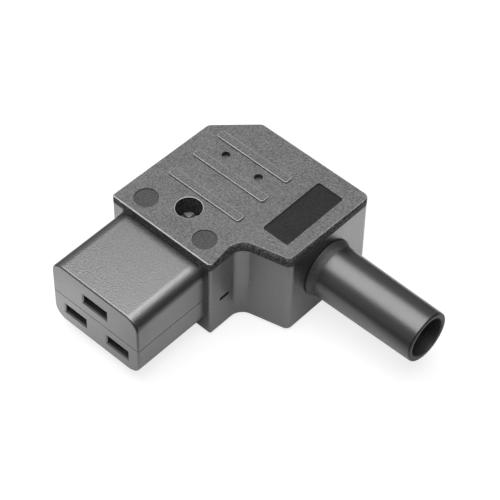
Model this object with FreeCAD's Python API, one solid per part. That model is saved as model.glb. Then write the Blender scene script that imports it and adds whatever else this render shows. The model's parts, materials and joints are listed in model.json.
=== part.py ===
"""Rewireable right-angle C19 appliance connector, in millimetres.

The origin is the middle of the nose's mating face. -Y points out of the nose,
+X points out of the cable boot and +Z points out of the cover.
"""

import FreeCAD
import Part

import os
from math import cos, hypot, radians, sin, tan

V = FreeCAD.Vector

# Nose: the insulating insert that goes into the inlet
NOSE_WIDTH = 26.4
NOSE_HEIGHT = 18.37
NOSE_LENGTH = 20.6
NOSE_CORNER = 3.5
NOSE_EDGE = 0.5
PARTING_Z = -0.5
PIN_PITCH = 13.0
PIN_ROW_Z = -4.555
EARTH_RISE = 8.3
PIN_SLOT = (6.5, 2.7)
EARTH_SLOT = (7.2, 2.8)
SLOT_LEAD = 0.3
SLOT_DEPTH = 2.6
POCKET_SIDE = 0.9
POCKET_HEIGHT = 5.0
NECK_STEP = 1.6
NECK_DROP = 0.8
NECK_CORNER = 2.0
FLANGE_THICKNESS = 1.5
FLANGE_CORNER = 1.0
EARTH_BAY_WIDTH = 14.0

# Housing: a deep base shell closed by a cover plate. A setback is measured from its front wall
FRONT_HALF_WIDTH = 15.05
BACK_HALF_WIDTH = 14.45
RIGHT_X = 27.0
HOUSING_LENGTH = 39.2
STEP_SETBACK = 9.6
SLANT_LENGTH = 3.1
CHAMFER_X = 9.0
CHAMFER_Y = 8.8
FRONT_CORNER = 0.7
CORNER = 1.7
LEAST_CORNER = 0.3
STEP_FILLET = 3.2
TOP_Z = 12.175
BOTTOM_Z = -12.175
COVER_THICKNESS = 2.1
COVER_EDGE = 0.35
OVERHANG = 0.05
BOTTOM_EDGE = 1.3
WALL = 1.8
FLOOR = 2.0
FIT = 0.1
RIM_THICKNESS = 1.1
RIM_DEPTH = 1.5

# Side slots that the insert's catches look out of
CATCH_SLOT = (2.8, 1.0)
CATCH_SLOT_SETBACK = 4.55
CATCH_SLOT_Z = -2.05
CATCH_SLOT_RUN_IN = 0.5

# Cover features
GRIP_RIB = (21.4, 2.3)
GRIP_RIB_HEIGHT = 0.45
GRIP_RIB_EDGE = 0.15
GRIP_RIB_CORNER = 0.6
GRIP_RIB_ROOT = 0.5
GRIP_RIB_X = 0.2
GRIP_RIB_SETBACK = 14.3
GRIP_RIB_PITCH = 7.9
GRIP_RIBS = 3
LABEL_PANEL = (7.3, 18.6)
LABEL_X = 19.5
LABEL_SETBACK = 25.1
LABEL_CORNER = 0.6
LABEL_DEPTH = 0.3
ROUND_PANEL_DIAMETER = 5.7
ROUND_PANEL_DEPTH = 0.25
ROUND_PANEL_X = 8.9
ROUND_PANEL_SETBACK = 4.7
PEG_HOLE_DIAMETER = 2.0
PEG_HOLE_DEPTH = 1.2
PEG_HOLE_X = 5.0
PEG_HOLE_SETBACK = 26.3

# Cover screw, its well in the cover and its pillar in the base
SCREW_SETBACK = 9.05
WELL_DIAMETER = 6.2
WELL_WALL = 0.9
WELL_BOTTOM_Z = 5.1
WELL_FLOOR = 1.2
PILLAR_DIAMETER = 7.0
NUT_DIAMETER = 4.6
NUT_LENGTH = 5.0
COVER_SCREW_LENGTH = 10.0

# Screws
SHANK_DIAMETER = 2.9
SHANK_GAP = 0.05
WELL_SHANK_GAP = 0.1
HEAD_DIAMETER = 5.2
HEAD_HEIGHT = 1.9
HEAD_EDGE = 0.4
HEAD_SLOT_WIDTH = 0.8
HEAD_SLOT_DEPTH = 0.9
TERMINAL_HEAD_DIAMETER = 4.4

# Contacts: folded brass strip with a pair of leaves
STRIP = 0.7
LEAF_WIDTH = 5.6
LEAF_TIP_Y = 4.2
LEAF_LENGTH = 11.8
LEAF_LEAD = 2.0
LEAF_GRIP = 1.6
LEAF_BEND = 1.6
LEAF_PINCH = 0.8
LEAF_SPREAD = 1.7
BRIDGE_LENGTH = 1.6
BRIDGE_LAP = 0.4
TAIL_WIDTH = 4.0
TAIL_GAP = 0.05
PIN_TAIL_SETBACK = 1.0
EARTH_TAIL_SETBACK = 0.5

# Terminal blocks
BLOCK_WIDTH = 6.2
BLOCK_HEIGHT = 6.4
BLOCK_LENGTH = 6.4
BLOCK_EDGE = 0.3
BLOCK_X = 7.2
BLOCK_GAP = 0.6
WIRE_BORE = 3.2
EARTH_BLOCK_LENGTH = 4.4
EARTH_BLOCK_HEIGHT = 5.0
EARTH_BLOCK_BACK_GAP = 0.2
EARTH_WIRE_BORE = 2.6

# Cable boot
BOOT_SETBACK = 25.1
BOOT_LENGTH = 29.25
BOOT_ROOT_DIAMETER = 13.2
BOOT_TIP_DIAMETER = 12.6
BOOT_COLLAR_DIAMETER = 14.6
BOOT_COLLAR_LENGTH = 0.8
BOOT_SHOULDER = 1.6
BOOT_RIM_ROUND = 0.6
BOOT_BORE = 8.6
BOOT_MOUTH_BORE = 9.8
BOOT_MOUTH_DEPTH = 2.5
BOOT_NECK_DIAMETER = 12.0
BOOT_FLANGE_DIAMETER = 14.8
BOOT_FLANGE_LENGTH = 1.4
BOOT_FIT = 0.05

# Cable clamp
CLAMP_X = 19.6
CLAMP_WIDTH = 4.4
CLAMP_SPAN = 17.0
CLAMP_POST_DIAMETER = 4.8
CLAMP_BAR_THICKNESS = 1.8
CLAMP_ARCH_RADIUS = 4.2
CLAMP_END = 2.6
CLAMP_SCREW_LENGTH = 6.0
SADDLE_HALF_WIDTH = 4.4
SADDLE_DROP = 1.0

# Cutting shapes start or end this far outside what they cut, or reach right past the part
CLEAR = 1.0
LAP = 0.01
FAR = 100.0

# Worked out from the sizes above
BACK_Y = NOSE_LENGTH + HOUSING_LENGTH
STEP_Y = NOSE_LENGTH + STEP_SETBACK
SLANT_END_Y = STEP_Y + SLANT_LENGTH
CATCH_SLOT_Y = NOSE_LENGTH + CATCH_SLOT_SETBACK
GRIP_RIB_Y = NOSE_LENGTH + GRIP_RIB_SETBACK
LABEL_Y = NOSE_LENGTH + LABEL_SETBACK
ROUND_PANEL_Y = NOSE_LENGTH + ROUND_PANEL_SETBACK
PEG_HOLE_Y = NOSE_LENGTH + PEG_HOLE_SETBACK
SCREW_Y = NOSE_LENGTH + SCREW_SETBACK
BOOT_Y = NOSE_LENGTH + BOOT_SETBACK
COVER_BOTTOM_Z = TOP_Z - COVER_THICKNESS
FLOOR_Z = BOTTOM_Z + FLOOR
COVER_FRONT_Y = NOSE_LENGTH - OVERHANG
INNER_FRONT_Y = NOSE_LENGTH + WALL
BASE_RIGHT_X = RIGHT_X - OVERHANG
INNER_RIGHT_X = BASE_RIGHT_X - WALL
EARTH_Z = PIN_ROW_Z + EARTH_RISE
NECK_HALF_WIDTH = NOSE_WIDTH / 2 - NECK_STEP
NECK_HALF_HEIGHT = NOSE_HEIGHT / 2 - NECK_DROP
INSERT_END_Y = INNER_FRONT_Y + FLANGE_THICKNESS
BLOCK_FRONT_Y = INSERT_END_Y + BLOCK_GAP
EARTH_BLOCK_END_Y = SCREW_Y - WELL_DIAMETER / 2 - WELL_WALL - EARTH_BLOCK_BACK_GAP
EARTH_BLOCK_FRONT_Y = EARTH_BLOCK_END_Y - EARTH_BLOCK_LENGTH
CLAMP_SCREW_YS = (BOOT_Y - CLAMP_SPAN / 2, BOOT_Y + CLAMP_SPAN / 2)


def box(x0, x1, y0, y1, z0, z1):
    return Part.makeBox(x1 - x0, y1 - y0, z1 - z0, V(x0, y0, z0))


def rod(diameter, start, end):
    """A round bar between two points."""
    axis = end - start
    return Part.makeCylinder(diameter / 2, axis.Length, start, axis)


def fuse(first, *others):
    return first.multiFuse(list(others)).removeSplitter()


def outline(points, radii):
    """A closed wire in the XY plane through corner points, each rounded by its radius."""
    edges = []
    count = len(points)
    starts, ends, mids = [], [], []
    for i, (x, y) in enumerate(points):
        corner = V(x, y, 0)
        before = (V(*points[i - 1], 0) - corner).normalize()
        after = (V(*points[(i + 1) % count], 0) - corner).normalize()
        half = before.getAngle(after) / 2
        reach = radii[i] / tan(half)
        to_centre = (before + after).normalize()
        starts.append(corner + before * reach)
        ends.append(corner + after * reach)
        mids.append(corner + to_centre * (radii[i] / sin(half) - radii[i]))
    for i in range(count):
        if radii[i] > 0:
            edges.append(Part.Arc(starts[i], mids[i], ends[i]).toShape())
        edges.append(Part.LineSegment(ends[i], starts[(i + 1) % count]).toShape())
    return Part.Wire(edges)


def rectangle(x0, x1, y0, y1, radius):
    return outline([(x0, y0), (x1, y0), (x1, y1), (x0, y1)], [radius] * 4)


def extrude_z(wire, z0, z1):
    flat = Part.Face(wire)
    flat.translate(V(0, 0, z0))
    return flat.extrude(V(0, 0, z1 - z0))


def bar_y(half_width, z0, z1, y0, y1, radius):
    """A bar along Y with a rounded rectangular section."""
    flat = Part.Face(rectangle(-half_width, half_width, z0, z1, radius))
    flat.rotate(V(), V(1, 0, 0), 90)
    flat.translate(V(0, y0, 0))
    return flat.extrude(V(0, y1 - y0, 0))


def plan_corners(inset):
    """The housing's plan corners, moved inwards by a distance."""
    corners = [
        (-FRONT_HALF_WIDTH, COVER_FRONT_Y),
        (FRONT_HALF_WIDTH, COVER_FRONT_Y),
        (FRONT_HALF_WIDTH, STEP_Y),
        (RIGHT_X, SLANT_END_Y),
        (RIGHT_X, BACK_Y),
        (CHAMFER_X - BACK_HALF_WIDTH, BACK_Y),
        (-BACK_HALF_WIDTH, BACK_Y - CHAMFER_Y),
    ]
    moved = []
    count = len(corners)
    for i, (x, y) in enumerate(corners):
        x0, y0 = corners[i - 1]
        x1, y1 = corners[(i + 1) % count]
        a = hypot(x - x0, y - y0)
        b = hypot(x1 - x, y1 - y)
        # inward normals of the edge before and the edge after
        nx0, ny0 = -(y - y0) / a, (x - x0) / a
        nx1, ny1 = -(y1 - y) / b, (x1 - x) / b
        scale = inset / (1 + nx0 * nx1 + ny0 * ny1)
        moved.append((x + (nx0 + nx1) * scale, y + (ny0 + ny1) * scale))
    return moved


def plan(inset):
    """The housing's plan outline, moved inwards by a distance."""
    front = max(FRONT_CORNER - inset, LEAST_CORNER)
    outer = max(CORNER - inset, LEAST_CORNER)
    inner = STEP_FILLET + inset
    return outline(plan_corners(inset), [front, front, inner, outer, outer, outer, outer])


def edges_at_z(shape, z):
    """The edges that lie wholly at one height."""
    return [edge for edge in shape.Edges
            if abs(edge.BoundBox.ZMin - z) < LAP and abs(edge.BoundBox.ZMax - z) < LAP]


def edges_at_y(shape, y):
    """The edges that lie wholly at one distance from the mating face."""
    return [edge for edge in shape.Edges
            if abs(edge.BoundBox.YMin - y) < LAP and abs(edge.BoundBox.YMax - y) < LAP]


def strip(points, width, x):
    """A folded strip: a line of (y, z) points with the strip's thickness, across X."""
    normals = []
    for (y0, z0), (y1, z1) in zip(points, points[1:]):
        length = hypot(y1 - y0, z1 - z0)
        normals.append((-(z1 - z0) / length, (y1 - y0) / length))
    sides = [[], []]
    for i, (y, z) in enumerate(points):
        n0 = normals[max(i - 1, 0)]
        n1 = normals[min(i, len(normals) - 1)]
        scale = STRIP / 2 / (1 + n0[0] * n1[0] + n0[1] * n1[1])
        for side, sign in zip(sides, (1, -1)):
            side.append((y + sign * (n0[0] + n1[0]) * scale, z + sign * (n0[1] + n1[1]) * scale))
    loop = sides[0] + sides[1][::-1]
    wire = Part.makePolygon([V(x - width / 2, y, z) for y, z in loop + loop[:1]])
    return Part.Face(wire).extrude(V(width, 0, 0))


def machine_screw(x, y, seat_z, length, head_diameter):
    """A slotted screw pointing down, with its head on seat_z."""
    head = rod(head_diameter, V(x, y, seat_z), V(x, y, seat_z + HEAD_HEIGHT))
    head = head.makeChamfer(HEAD_EDGE, edges_at_z(head, seat_z + HEAD_HEIGHT))
    shank = rod(SHANK_DIAMETER, V(x, y, seat_z - length), V(x, y, seat_z))
    slot = box(x - head_diameter, x + head_diameter, y - HEAD_SLOT_WIDTH / 2, y + HEAD_SLOT_WIDTH / 2,
               seat_z + HEAD_HEIGHT - HEAD_SLOT_DEPTH, seat_z + HEAD_HEIGHT + CLEAR)
    return fuse(head, shank).cut(slot)


def cross_screw(x, y, seat_z, length, head_diameter):
    """A cross-recessed screw pointing down, with its head on seat_z."""
    screw = machine_screw(x, y, seat_z, length, head_diameter)
    cross = box(x - HEAD_SLOT_WIDTH / 2, x + HEAD_SLOT_WIDTH / 2, y - head_diameter, y + head_diameter,
                seat_z + HEAD_HEIGHT - HEAD_SLOT_DEPTH, seat_z + HEAD_HEIGHT + CLEAR)
    return screw.cut(cross)


def contact_slot(x, z, size):
    """The mouth in the mating face: a slot with a lead-in round its edge."""
    width, height = size
    slot = box(x - width / 2, x + width / 2, -CLEAR, SLOT_DEPTH + LAP, z - height / 2, z + height / 2)
    corners = ((-1, -1), (1, -1), (1, 1), (-1, 1), (-1, -1))
    wide = Part.makePolygon([V(x + sx * (width / 2 + SLOT_LEAD), 0, z + sz * (height / 2 + SLOT_LEAD))
                             for sx, sz in corners])
    tight = Part.makePolygon([V(x + sx * width / 2, SLOT_LEAD, z + sz * height / 2) for sx, sz in corners])
    return slot.fuse(Part.makeLoft([wide, tight], True, True))


def contact_pocket(x, z, size, end_y):
    """The room behind a slot, open at the back of the insert."""
    half = size[0] / 2 + POCKET_SIDE
    return box(x - half, x + half, SLOT_DEPTH, end_y, z - POCKET_HEIGHT / 2, z + POCKET_HEIGHT / 2)


def insert_block():
    """The whole insert before it is parted: nose, neck in the front wall and flange behind it."""
    half_width = NOSE_WIDTH / 2
    half_height = NOSE_HEIGHT / 2
    nose = bar_y(half_width, -half_height, half_height, 0, NOSE_LENGTH, NOSE_CORNER)
    nose = nose.makeFillet(NOSE_EDGE, edges_at_y(nose, 0))
    neck = bar_y(NECK_HALF_WIDTH, -NECK_HALF_HEIGHT, NECK_HALF_HEIGHT, NOSE_LENGTH, INSERT_END_Y,
                 NECK_CORNER)
    flange_half_width = FRONT_HALF_WIDTH - OVERHANG - WALL - 2 * FIT
    flange = bar_y(flange_half_width, -NECK_HALF_HEIGHT, NECK_HALF_HEIGHT,
                   INNER_FRONT_Y + FIT / 2, INSERT_END_Y, FLANGE_CORNER)
    return fuse(nose, neck, flange)


def insert_lower():
    half = box(-FAR, FAR, -FAR, FAR, -FAR, PARTING_Z)
    insert = insert_block().common(half)
    for side in (-1, 1):
        x = side * PIN_PITCH / 2
        insert = insert.cut(contact_slot(x, PIN_ROW_Z, PIN_SLOT))
        insert = insert.cut(contact_pocket(x, PIN_ROW_Z, PIN_SLOT, INSERT_END_Y + CLEAR))
    return insert


def insert_upper():
    half = box(-FAR, FAR, -FAR, FAR, PARTING_Z, FAR)
    insert = insert_block().common(half)
    insert = insert.cut(contact_slot(0, EARTH_Z, EARTH_SLOT))
    insert = insert.cut(contact_pocket(0, EARTH_Z, EARTH_SLOT, INSERT_END_Y + CLEAR))
    # the earth terminal is reached from above, and its wire from either side
    floor_z = EARTH_Z - POCKET_HEIGHT / 2
    block_bay = box(-BLOCK_WIDTH / 2 - FIT, BLOCK_WIDTH / 2 + FIT,
                    EARTH_BLOCK_FRONT_Y - FIT, INSERT_END_Y + CLEAR, floor_z, TOP_Z)
    wire_bay = box(-EARTH_BAY_WIDTH / 2, EARTH_BAY_WIDTH / 2,
                   INNER_FRONT_Y, INSERT_END_Y + CLEAR, floor_z, TOP_Z)
    return insert.cut(block_bay).cut(wire_bay)


def base_shell():
    shell = extrude_z(plan(OVERHANG), BOTTOM_Z, COVER_BOTTOM_Z)
    shell = shell.makeFillet(BOTTOM_EDGE, edges_at_z(shell, BOTTOM_Z))
    room = extrude_z(plan(OVERHANG + WALL), FLOOR_Z, COVER_BOTTOM_Z + CLEAR)
    shell = shell.cut(room)

    pillar = rod(PILLAR_DIAMETER, V(0, SCREW_Y, FLOOR_Z), V(0, SCREW_Y, WELL_BOTTOM_Z))
    rests = [box(side * BLOCK_X - BLOCK_WIDTH / 2, side * BLOCK_X + BLOCK_WIDTH / 2,
                 BLOCK_FRONT_Y, BLOCK_FRONT_Y + BLOCK_LENGTH, FLOOR_Z, PIN_ROW_Z - BLOCK_HEIGHT / 2)
             for side in (-1, 1)]
    posts = [rod(CLAMP_POST_DIAMETER, V(CLAMP_X, y, FLOOR_Z), V(CLAMP_X, y, 0)) for y in CLAMP_SCREW_YS]
    saddle = box(CLAMP_X - CLAMP_WIDTH / 2, CLAMP_X + CLAMP_WIDTH / 2,
                 BOOT_Y - SADDLE_HALF_WIDTH, BOOT_Y + SADDLE_HALF_WIDTH, FLOOR_Z, -SADDLE_DROP)
    saddle = saddle.cut(rod(2 * CLAMP_ARCH_RADIUS, V(CLAMP_X - CLAMP_WIDTH, BOOT_Y, 0),
                            V(CLAMP_X + CLAMP_WIDTH, BOOT_Y, 0)))
    shell = fuse(shell, pillar, *rests, *posts, saddle)

    # the front wall is open at the top, so that the insert's neck drops in
    neck_way = box(-NECK_HALF_WIDTH - FIT, NECK_HALF_WIDTH + FIT, NOSE_LENGTH - CLEAR, INNER_FRONT_Y + LAP,
                   -NECK_HALF_HEIGHT - FIT, COVER_BOTTOM_Z + CLEAR)
    boot_way = rod(BOOT_NECK_DIAMETER + 2 * BOOT_FIT, V(INNER_RIGHT_X - CLEAR, BOOT_Y, 0),
                   V(RIGHT_X + CLEAR, BOOT_Y, 0))
    nut_pocket = rod(NUT_DIAMETER, V(0, SCREW_Y, WELL_BOTTOM_Z - NUT_LENGTH),
                     V(0, SCREW_Y, WELL_BOTTOM_Z + CLEAR))
    screw_room = SHANK_DIAMETER + 2 * SHANK_GAP
    tip_room = rod(screw_room, V(0, SCREW_Y, WELL_BOTTOM_Z - COVER_SCREW_LENGTH),
                   V(0, SCREW_Y, WELL_BOTTOM_Z))
    post_holes = [rod(screw_room, V(CLAMP_X, y, -CLAMP_SCREW_LENGTH), V(CLAMP_X, y, CLEAR))
                  for y in CLAMP_SCREW_YS]
    length, height = CATCH_SLOT
    run_in = FRONT_HALF_WIDTH - OVERHANG - WALL - CATCH_SLOT_RUN_IN
    catch_slots = [box(x0, x1, CATCH_SLOT_Y - length / 2, CATCH_SLOT_Y + length / 2,
                       CATCH_SLOT_Z - height / 2, CATCH_SLOT_Z + height / 2)
                   for x0, x1 in ((-FRONT_HALF_WIDTH, -run_in), (run_in, FRONT_HALF_WIDTH))]
    for tool in [neck_way, boot_way, nut_pocket, tip_room, *post_holes, *catch_slots]:
        shell = shell.cut(tool)
    return shell


def cover():
    plate = extrude_z(plan(0), COVER_BOTTOM_Z, TOP_Z)
    plate = plate.makeFillet(COVER_EDGE, edges_at_z(plate, TOP_Z))
    rim_inset = OVERHANG + WALL + FIT
    rim = extrude_z(plan(rim_inset), COVER_BOTTOM_Z - RIM_DEPTH, COVER_BOTTOM_Z)
    rim = rim.cut(extrude_z(plan(rim_inset + RIM_THICKNESS), COVER_BOTTOM_Z - RIM_DEPTH - CLEAR,
                            COVER_BOTTOM_Z + CLEAR))
    tongue = box(-NECK_HALF_WIDTH, NECK_HALF_WIDTH, NOSE_LENGTH, INNER_FRONT_Y + 2 * FIT,
                 NECK_HALF_HEIGHT, COVER_BOTTOM_Z)
    well = rod(WELL_DIAMETER + 2 * WELL_WALL, V(0, SCREW_Y, WELL_BOTTOM_Z), V(0, SCREW_Y, COVER_BOTTOM_Z))
    length, width = GRIP_RIB
    ribs = []
    for i in range(GRIP_RIBS):
        y = GRIP_RIB_Y + i * GRIP_RIB_PITCH
        rib = rectangle(GRIP_RIB_X - length / 2, GRIP_RIB_X + length / 2, y - width / 2, y + width / 2,
                        GRIP_RIB_CORNER)
        rib = extrude_z(rib, TOP_Z - GRIP_RIB_ROOT, TOP_Z + GRIP_RIB_HEIGHT)
        ribs.append(rib.makeChamfer(GRIP_RIB_EDGE, edges_at_z(rib, TOP_Z + GRIP_RIB_HEIGHT)))
    body = fuse(plate, rim, tongue, well, *ribs)

    cuts = [rod(WELL_DIAMETER, V(0, SCREW_Y, WELL_BOTTOM_Z + WELL_FLOOR), V(0, SCREW_Y, TOP_Z + CLEAR)),
            rod(SHANK_DIAMETER + 2 * WELL_SHANK_GAP, V(0, SCREW_Y, WELL_BOTTOM_Z - CLEAR),
                V(0, SCREW_Y, TOP_Z))]
    for side in (-1, 1):
        x = side * ROUND_PANEL_X
        cuts.append(rod(ROUND_PANEL_DIAMETER, V(x, ROUND_PANEL_Y, TOP_Z - ROUND_PANEL_DEPTH),
                        V(x, ROUND_PANEL_Y, TOP_Z + CLEAR)))
        x = side * PEG_HOLE_X
        cuts.append(rod(PEG_HOLE_DIAMETER, V(x, PEG_HOLE_Y, TOP_Z - PEG_HOLE_DEPTH),
                        V(x, PEG_HOLE_Y, TOP_Z + CLEAR)))
    width, length = LABEL_PANEL
    label = rectangle(LABEL_X - width / 2, LABEL_X + width / 2, LABEL_Y - length / 2, LABEL_Y + length / 2,
                      LABEL_CORNER)
    cuts.append(extrude_z(label, TOP_Z - LABEL_DEPTH, TOP_Z + CLEAR))
    for tool in cuts:
        body = body.cut(tool)
    return body


def contact(x, z, tail_end_y):
    """A pair of sprung leaves that meet in a flat tail."""
    root_y = LEAF_TIP_Y + LEAF_LENGTH
    leaves = []
    for sign in (-1, 1):
        path = [(LEAF_TIP_Y, LEAF_SPREAD), (LEAF_TIP_Y + LEAF_LEAD, LEAF_PINCH + STRIP / 2),
                (LEAF_TIP_Y + LEAF_LEAD + LEAF_GRIP, LEAF_PINCH + STRIP / 2),
                (root_y - LEAF_BEND, LEAF_SPREAD), (root_y, STRIP / 2)]
        leaves.append(strip([(y, z + sign * dz) for y, dz in path], LEAF_WIDTH, x))
    bridge = box(x - LEAF_WIDTH / 2, x + LEAF_WIDTH / 2, root_y - BRIDGE_LAP,
                 root_y - BRIDGE_LAP + BRIDGE_LENGTH, z - STRIP, z + STRIP)
    tail = box(x - TAIL_WIDTH / 2, x + TAIL_WIDTH / 2, root_y, tail_end_y, z - STRIP / 2, z + STRIP / 2)
    return fuse(leaves[0], leaves[1], bridge, tail)


def pin_contact(side):
    return contact(side * PIN_PITCH / 2, PIN_ROW_Z, BLOCK_FRONT_Y + BLOCK_LENGTH - PIN_TAIL_SETBACK)


def earth_contact():
    return contact(0, EARTH_Z, EARTH_BLOCK_END_Y - EARTH_TAIL_SETBACK)


def pin_terminal(side):
    """A terminal block whose wire comes in from the back."""
    x = side * BLOCK_X
    y1 = BLOCK_FRONT_Y + BLOCK_LENGTH
    block = box(x - BLOCK_WIDTH / 2, x + BLOCK_WIDTH / 2, BLOCK_FRONT_Y, y1,
                PIN_ROW_Z - BLOCK_HEIGHT / 2, PIN_ROW_Z + BLOCK_HEIGHT / 2)
    block = block.makeFillet(BLOCK_EDGE, edges_at_z(block, PIN_ROW_Z + BLOCK_HEIGHT / 2))
    tail_x = side * PIN_PITCH / 2
    tail_way = box(tail_x - TAIL_WIDTH / 2 - TAIL_GAP, tail_x + TAIL_WIDTH / 2 + TAIL_GAP,
                   BLOCK_FRONT_Y - CLEAR, y1 + CLEAR, PIN_ROW_Z - STRIP / 2, PIN_ROW_Z + STRIP / 2 + TAIL_GAP)
    bore_z = PIN_ROW_Z + WIRE_BORE / 2 - STRIP
    bore = rod(WIRE_BORE, V(x, BLOCK_FRONT_Y - CLEAR, bore_z), V(x, y1 + CLEAR, bore_z))
    hole = rod(SHANK_DIAMETER + 2 * SHANK_GAP, V(x, BLOCK_FRONT_Y + BLOCK_LENGTH / 2, PIN_ROW_Z),
               V(x, BLOCK_FRONT_Y + BLOCK_LENGTH / 2, FAR))
    return block.cut(tail_way).cut(bore).cut(hole)


def pin_terminal_screw(side):
    seat = PIN_ROW_Z + BLOCK_HEIGHT / 2
    length = BLOCK_HEIGHT / 2 - STRIP / 2
    return machine_screw(side * BLOCK_X, BLOCK_FRONT_Y + BLOCK_LENGTH / 2, seat, length,
                         TERMINAL_HEAD_DIAMETER)


def earth_terminal():
    """A terminal block whose wire comes in from the side."""
    z0 = EARTH_Z - POCKET_HEIGHT / 2
    z1 = z0 + EARTH_BLOCK_HEIGHT
    block = box(-BLOCK_WIDTH / 2, BLOCK_WIDTH / 2, EARTH_BLOCK_FRONT_Y, EARTH_BLOCK_END_Y, z0, z1)
    tail_way = box(-TAIL_WIDTH / 2 - TAIL_GAP, TAIL_WIDTH / 2 + TAIL_GAP, EARTH_BLOCK_FRONT_Y - CLEAR,
                   EARTH_BLOCK_END_Y + CLEAR, EARTH_Z - STRIP / 2, EARTH_Z + STRIP / 2 + TAIL_GAP)
    y = EARTH_BLOCK_END_Y - EARTH_BLOCK_LENGTH / 2
    bore_z = EARTH_Z + EARTH_WIRE_BORE / 2
    bore = rod(EARTH_WIRE_BORE, V(-BLOCK_WIDTH, y, bore_z), V(BLOCK_WIDTH, y, bore_z))
    hole = rod(SHANK_DIAMETER + 2 * SHANK_GAP, V(0, y, EARTH_Z), V(0, y, FAR))
    return block.cut(tail_way).cut(bore).cut(hole)


def earth_terminal_screw():
    seat = EARTH_Z - POCKET_HEIGHT / 2 + EARTH_BLOCK_HEIGHT
    length = seat - EARTH_Z - STRIP / 2
    return machine_screw(0, EARTH_BLOCK_END_Y - EARTH_BLOCK_LENGTH / 2, seat, length, TERMINAL_HEAD_DIAMETER)


def cover_nut():
    nut = rod(NUT_DIAMETER, V(0, SCREW_Y, WELL_BOTTOM_Z - NUT_LENGTH), V(0, SCREW_Y, WELL_BOTTOM_Z))
    return nut.cut(rod(SHANK_DIAMETER + 2 * SHANK_GAP, V(0, SCREW_Y, WELL_BOTTOM_Z - NUT_LENGTH - CLEAR),
                       V(0, SCREW_Y, WELL_BOTTOM_Z + CLEAR)))


def cover_screw():
    return cross_screw(0, SCREW_Y, WELL_BOTTOM_Z + WELL_FLOOR, COVER_SCREW_LENGTH, HEAD_DIAMETER)


def boot():
    """A soft sleeve turned about its bore: inner flange, neck in the wall, collar and tube."""
    wall_out = BASE_RIGHT_X + BOOT_FIT
    wall_in = INNER_RIGHT_X - BOOT_FIT
    inner_end = wall_in - BOOT_FLANGE_LENGTH
    collar_end = wall_out + BOOT_COLLAR_LENGTH
    shoulder_end = collar_end + BOOT_SHOULDER
    tip = BASE_RIGHT_X + BOOT_LENGTH
    root_r = BOOT_ROOT_DIAMETER / 2
    tip_r = BOOT_TIP_DIAMETER / 2
    collar_r = BOOT_COLLAR_DIAMETER / 2

    def p(x, r):
        return V(x, r, 0)

    turn = cos(radians(45))
    rim_mid = p(tip - BOOT_RIM_ROUND * (1 - turn), tip_r - BOOT_RIM_ROUND * (1 - turn))
    line = Part.LineSegment
    edges = [
        line(p(inner_end, BOOT_BORE / 2), p(inner_end, BOOT_FLANGE_DIAMETER / 2)),
        line(p(inner_end, BOOT_FLANGE_DIAMETER / 2), p(wall_in, BOOT_FLANGE_DIAMETER / 2)),
        line(p(wall_in, BOOT_FLANGE_DIAMETER / 2), p(wall_in, BOOT_NECK_DIAMETER / 2)),
        line(p(wall_in, BOOT_NECK_DIAMETER / 2), p(wall_out, BOOT_NECK_DIAMETER / 2)),
        line(p(wall_out, BOOT_NECK_DIAMETER / 2), p(wall_out, collar_r)),
        line(p(wall_out, collar_r), p(collar_end, collar_r)),
        line(p(collar_end, collar_r), p(shoulder_end, root_r)),
        line(p(shoulder_end, root_r), p(tip - BOOT_RIM_ROUND, tip_r)),
        Part.Arc(p(tip - BOOT_RIM_ROUND, tip_r), rim_mid, p(tip, tip_r - BOOT_RIM_ROUND)),
        line(p(tip, tip_r - BOOT_RIM_ROUND), p(tip, BOOT_MOUTH_BORE / 2)),
        line(p(tip, BOOT_MOUTH_BORE / 2), p(tip - BOOT_MOUTH_DEPTH, BOOT_MOUTH_BORE / 2)),
        line(p(tip - BOOT_MOUTH_DEPTH, BOOT_MOUTH_BORE / 2), p(tip - BOOT_MOUTH_DEPTH, BOOT_BORE / 2)),
        line(p(tip - BOOT_MOUTH_DEPTH, BOOT_BORE / 2), p(inner_end, BOOT_BORE / 2)),
    ]
    section = Part.Face(Part.Wire([e.toShape() for e in edges]))
    sleeve = section.revolve(V(), V(1, 0, 0), 360)
    sleeve.translate(V(0, BOOT_Y, 0))
    return sleeve


def clamp_bar():
    """A bar that arches over the cable, with a foot on each post."""
    x0 = CLAMP_X - CLAMP_WIDTH / 2
    half = CLAMP_SPAN / 2 + CLAMP_END
    feet = box(x0, x0 + CLAMP_WIDTH, BOOT_Y - half, BOOT_Y + half, 0, CLAMP_BAR_THICKNESS)
    outer = rod(2 * (CLAMP_ARCH_RADIUS + CLAMP_BAR_THICKNESS), V(x0, BOOT_Y, 0),
                V(x0 + CLAMP_WIDTH, BOOT_Y, 0))
    outer = outer.common(box(x0 - CLEAR, x0 + CLAMP_WIDTH + CLEAR, BOOT_Y - half, BOOT_Y + half, 0, FAR))
    inner = rod(2 * CLAMP_ARCH_RADIUS, V(x0 - CLEAR, BOOT_Y, 0), V(x0 + CLAMP_WIDTH + CLEAR, BOOT_Y, 0))
    bar = fuse(feet, outer).cut(inner)
    for y in CLAMP_SCREW_YS:
        bar = bar.cut(rod(SHANK_DIAMETER + 2 * SHANK_GAP, V(CLAMP_X, y, -CLEAR),
                          V(CLAMP_X, y, CLAMP_BAR_THICKNESS + CLEAR)))
    return bar


def clamp_screw(y):
    return machine_screw(CLAMP_X, y, CLAMP_BAR_THICKNESS, CLAMP_SCREW_LENGTH, TERMINAL_HEAD_DIAMETER)


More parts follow.
